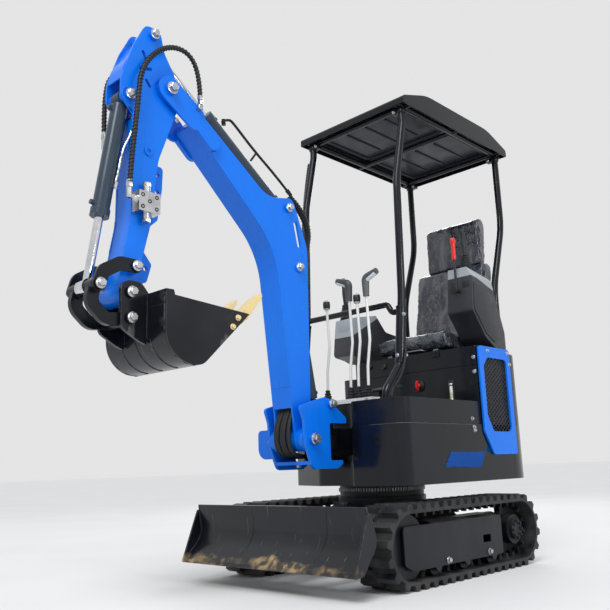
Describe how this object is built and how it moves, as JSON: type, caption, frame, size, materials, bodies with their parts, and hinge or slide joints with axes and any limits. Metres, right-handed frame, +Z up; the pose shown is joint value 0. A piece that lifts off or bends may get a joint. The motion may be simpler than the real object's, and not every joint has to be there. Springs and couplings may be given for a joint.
{
  "type": "mini excavator",
  "caption": "Mini excavator with a swing boom, arm, bucket, front blade, rubber tracks and a four-post canopy.",
  "frame": {"origin": "on the ground under the slew axis, midway between the tracks", "axes": "+X forward to the blade, +Y to the machine's left, +Z up"},
  "size_m": [2.3326, 0.93, 2.147],
  "materials": {
    "black_paint": "semi-gloss",
    "black_plastic": "grained",
    "blue_mesh": "satin",
    "blue_paint": "glossy",
    "bright_steel": "satin",
    "cast_black": "satin",
    "chrome_rod": "polished",
    "cylinder_black": "glossy",
    "hose_rubber": "matt",
    "red_plastic": "glossy",
    "seat_vinyl": "grained, under a loose clear cover",
    "tooth_paint": "satin",
    "track_rubber": "matt"
  },
  "bodies": {
    "undercarriage": {"track_left": "track_rubber", "track_right": "track_rubber", "drive_sprockets": "cast_black", "front_idlers": "cast_black", "track_rollers": "cast_black", "side_frames": "black_paint", "travel_motors": "cast_black", "track_frame": "black_paint"},
    "blade": {"blade": "black_paint"},
    "blade_tube": {"blade_cylinder_tube": "cylinder_black"},
    "blade_rod": {"blade_cylinder_rod": "chrome_rod"},
    "house": {"slew_ring": "cast_black", "house_base": "black_paint", "kingpost_housing": "cast_black", "house_skirt": "black_paint", "skirt_vent": "blue_mesh", "counterweight": "cast_black", "floor_box": "black_paint", "seat_box": "black_paint", "side_tank": "black_plastic", "engine_block": "cast_black", "seat_box_fittings": "red_plastic", "grille_frame": "blue_paint", "grille_mesh": "black_paint", "engine_cover": "black_paint", "seat_base": "black_plastic", "seat_cushion": "seat_vinyl", "seat_back": "seat_vinyl", "headrest": "seat_vinyl", "left_console": "black_plastic", "right_console": "black_plastic", "safety_lever": "red_plastic", "control_levers": "bright_steel", "pedals": "black_plastic", "canopy_roof": "black_paint", "canopy_frame": "black_paint", "canopy_front_posts": "black_paint", "canopy_rear_posts": "black_paint", "joysticks": "black_plastic", "post_cables": "hose_rubber"},
    "rear_door": {"rear_door": "black_paint"},
    "swing_bracket": {"swing_bracket": "blue_paint"},
    "swing_tube": {"swing_cylinder_tube": "cylinder_black"},
    "swing_rod": {"swing_cylinder_rod": "chrome_rod"},
    "boom": {"boom": "blue_paint", "boom_hoses": "hose_rubber", "foot_hoses": "hose_rubber"},
    "boom_tube": {"boom_cylinder_tube": "cylinder_black"},
    "boom_rod": {"boom_cylinder_rod": "chrome_rod"},
    "arm": {"arm": "blue_paint", "arm_hoses": "hose_rubber", "arm_valve_block": "bright_steel"},
    "arm_tube": {"arm_cylinder_tube": "cylinder_black"},
    "arm_rod": {"arm_cylinder_rod": "chrome_rod"},
    "bucket": {"bucket": "black_paint", "bucket_teeth": "tooth_paint"},
    "bucket_tube": {"bucket_cylinder_tube": "cylinder_black"},
    "bucket_rod": {"bucket_cylinder_rod": "chrome_rod"},
    "guide_links": {"guide_links": "black_paint"},
    "bucket_link": {"bucket_link": "black_paint"}
  },
  "joints": [
    {"name": "slew", "type": "hinge", "parent": "undercarriage", "child": "house", "pos_m": [0, 0, 0.31], "axis": [0, 0, 1], "continuous": true},
    {"name": "blade_lift", "type": "hinge", "parent": "undercarriage", "child": "blade", "pos_m": [0.265, 0, 0.165], "axis": [0, -1, 0], "range_deg": [-25, 7.5]},
    {"name": "blade_tube_pivot", "type": "hinge", "parent": "undercarriage", "child": "blade_tube", "pos_m": [0.262, 0, 0.276], "axis": [0, -1, 0], "range_deg": [-22.77, 7.53]},
    {"name": "blade_rod_slide", "type": "slide", "parent": "blade_tube", "child": "blade_rod", "axis": [0.9705, 0, -0.2411], "range_m": [-0.01494, 0.04512]},
    {"name": "rear_door_hinge", "type": "hinge", "parent": "house", "child": "rear_door", "pos_m": [-0.709, 0.193, 0.75], "axis": [0, 0, -1], "range_deg": [0, 110]},
    {"name": "boom_swing", "type": "hinge", "parent": "house", "child": "swing_bracket", "pos_m": [0.4, 0, 0.54], "axis": [0, 0, 1], "range_deg": [-50, 55]},
    {"name": "swing_tube_pivot", "type": "hinge", "parent": "house", "child": "swing_tube", "pos_m": [-0.25, -0.16, 0.54], "axis": [0, 0, 1], "range_deg": [-4.03, 4.33]},
    {"name": "swing_rod_slide", "type": "slide", "parent": "swing_tube", "child": "swing_rod", "axis": [0.9982, -0.0596, 0], "range_m": [-0.16781, 0.18439]},
    {"name": "boom_lift", "type": "hinge", "parent": "swing_bracket", "child": "boom", "pos_m": [0.544, 0, 0.55], "axis": [0, -1, 0], "range_deg": [-100, 6], "deforming": ["foot_hoses"]},
    {"name": "boom_tube_pivot", "type": "hinge", "parent": "swing_bracket", "child": "boom_tube", "pos_m": [0.436, 0, 0.689], "axis": [0, -1, 0], "range_deg": [-99.29, 6.9]},
    {"name": "boom_rod_slide", "type": "slide", "parent": "boom_tube", "child": "boom_rod", "axis": [0.183, 0, 0.9831], "range_m": [-0.01806, 0.26972]},
    {"name": "arm_fold", "type": "hinge", "parent": "boom", "child": "arm", "pos_m": [1.2, 0, 1.81], "axis": [0, 1, 0], "range_deg": [-95, 8], "deforming": ["arm_hoses"]},
    {"name": "arm_tube_pivot", "type": "hinge", "parent": "boom", "child": "arm_tube", "pos_m": [0.595, 0, 1.497], "axis": [0, 1, 0], "range_deg": [-5.48, 1.38]},
    {"name": "arm_rod_slide", "type": "slide", "parent": "arm_tube", "child": "arm_rod", "axis": [0.7935, 0, 0.6085], "range_m": [-0.30722, 0.0277]},
    {"name": "bucket_curl", "type": "hinge", "parent": "arm", "child": "bucket", "pos_m": [1.355, 0, 1.024], "axis": [0, 1, 0], "range_deg": [-140, 5]},
    {"name": "bucket_tube_pivot", "type": "hinge", "parent": "arm", "child": "bucket_tube", "pos_m": [1.362, 0, 1.738], "axis": [0, 1, 0], "range_deg": [-1.07, 2.98]},
    {"name": "bucket_rod_slide", "type": "slide", "parent": "bucket_tube", "child": "bucket_rod", "axis": [0.161, 0, -0.987], "range_m": [-0.21828, 0.00972]},
    {"name": "guide_link_pivot", "type": "hinge", "parent": "arm", "child": "guide_links", "pos_m": [1.343, 0, 1.112], "axis": [0, 1, 0], "range_deg": [-90.46, 4.2]},
    {"name": "bucket_link_pivot", "type": "hinge", "parent": "bucket", "child": "bucket_link", "pos_m": [1.354, 0, 0.938], "axis": [0, 1, 0], "range_deg": [-4.35, 94.87]}
  ],
  "couplings": [
    {"joint": "blade_tube_pivot", "follows": "blade_lift", "ratio": 0.86197},
    {"joint": "blade_rod_slide", "follows": "blade_lift", "m_per_rad": -0.098824},
    {"joint": "swing_tube_pivot", "follows": "boom_swing", "ratio": 0.06},
    {"joint": "swing_rod_slide", "follows": "boom_swing", "m_per_rad": 0.19},
    {"joint": "boom_tube_pivot", "follows": "boom_lift", "ratio": 0.97319},
    {"joint": "boom_rod_slide", "follows": "boom_lift", "m_per_rad": -0.15339},
    {"joint": "arm_tube_pivot", "follows": "arm_fold", "ratio": 0.046728},
    {"joint": "arm_rod_slide", "follows": "arm_fold", "m_per_rad": 0.18408},
    {"joint": "bucket_tube_pivot", "follows": "bucket_curl", "ratio": -0.014017},
    {"joint": "bucket_rod_slide", "follows": "bucket_curl", "m_per_rad": 0.088512},
    {"joint": "guide_link_pivot", "follows": "bucket_curl", "ratio": 0.6327},
    {"joint": "bucket_link_pivot", "follows": "bucket_curl", "ratio": -0.66389}
  ]
}
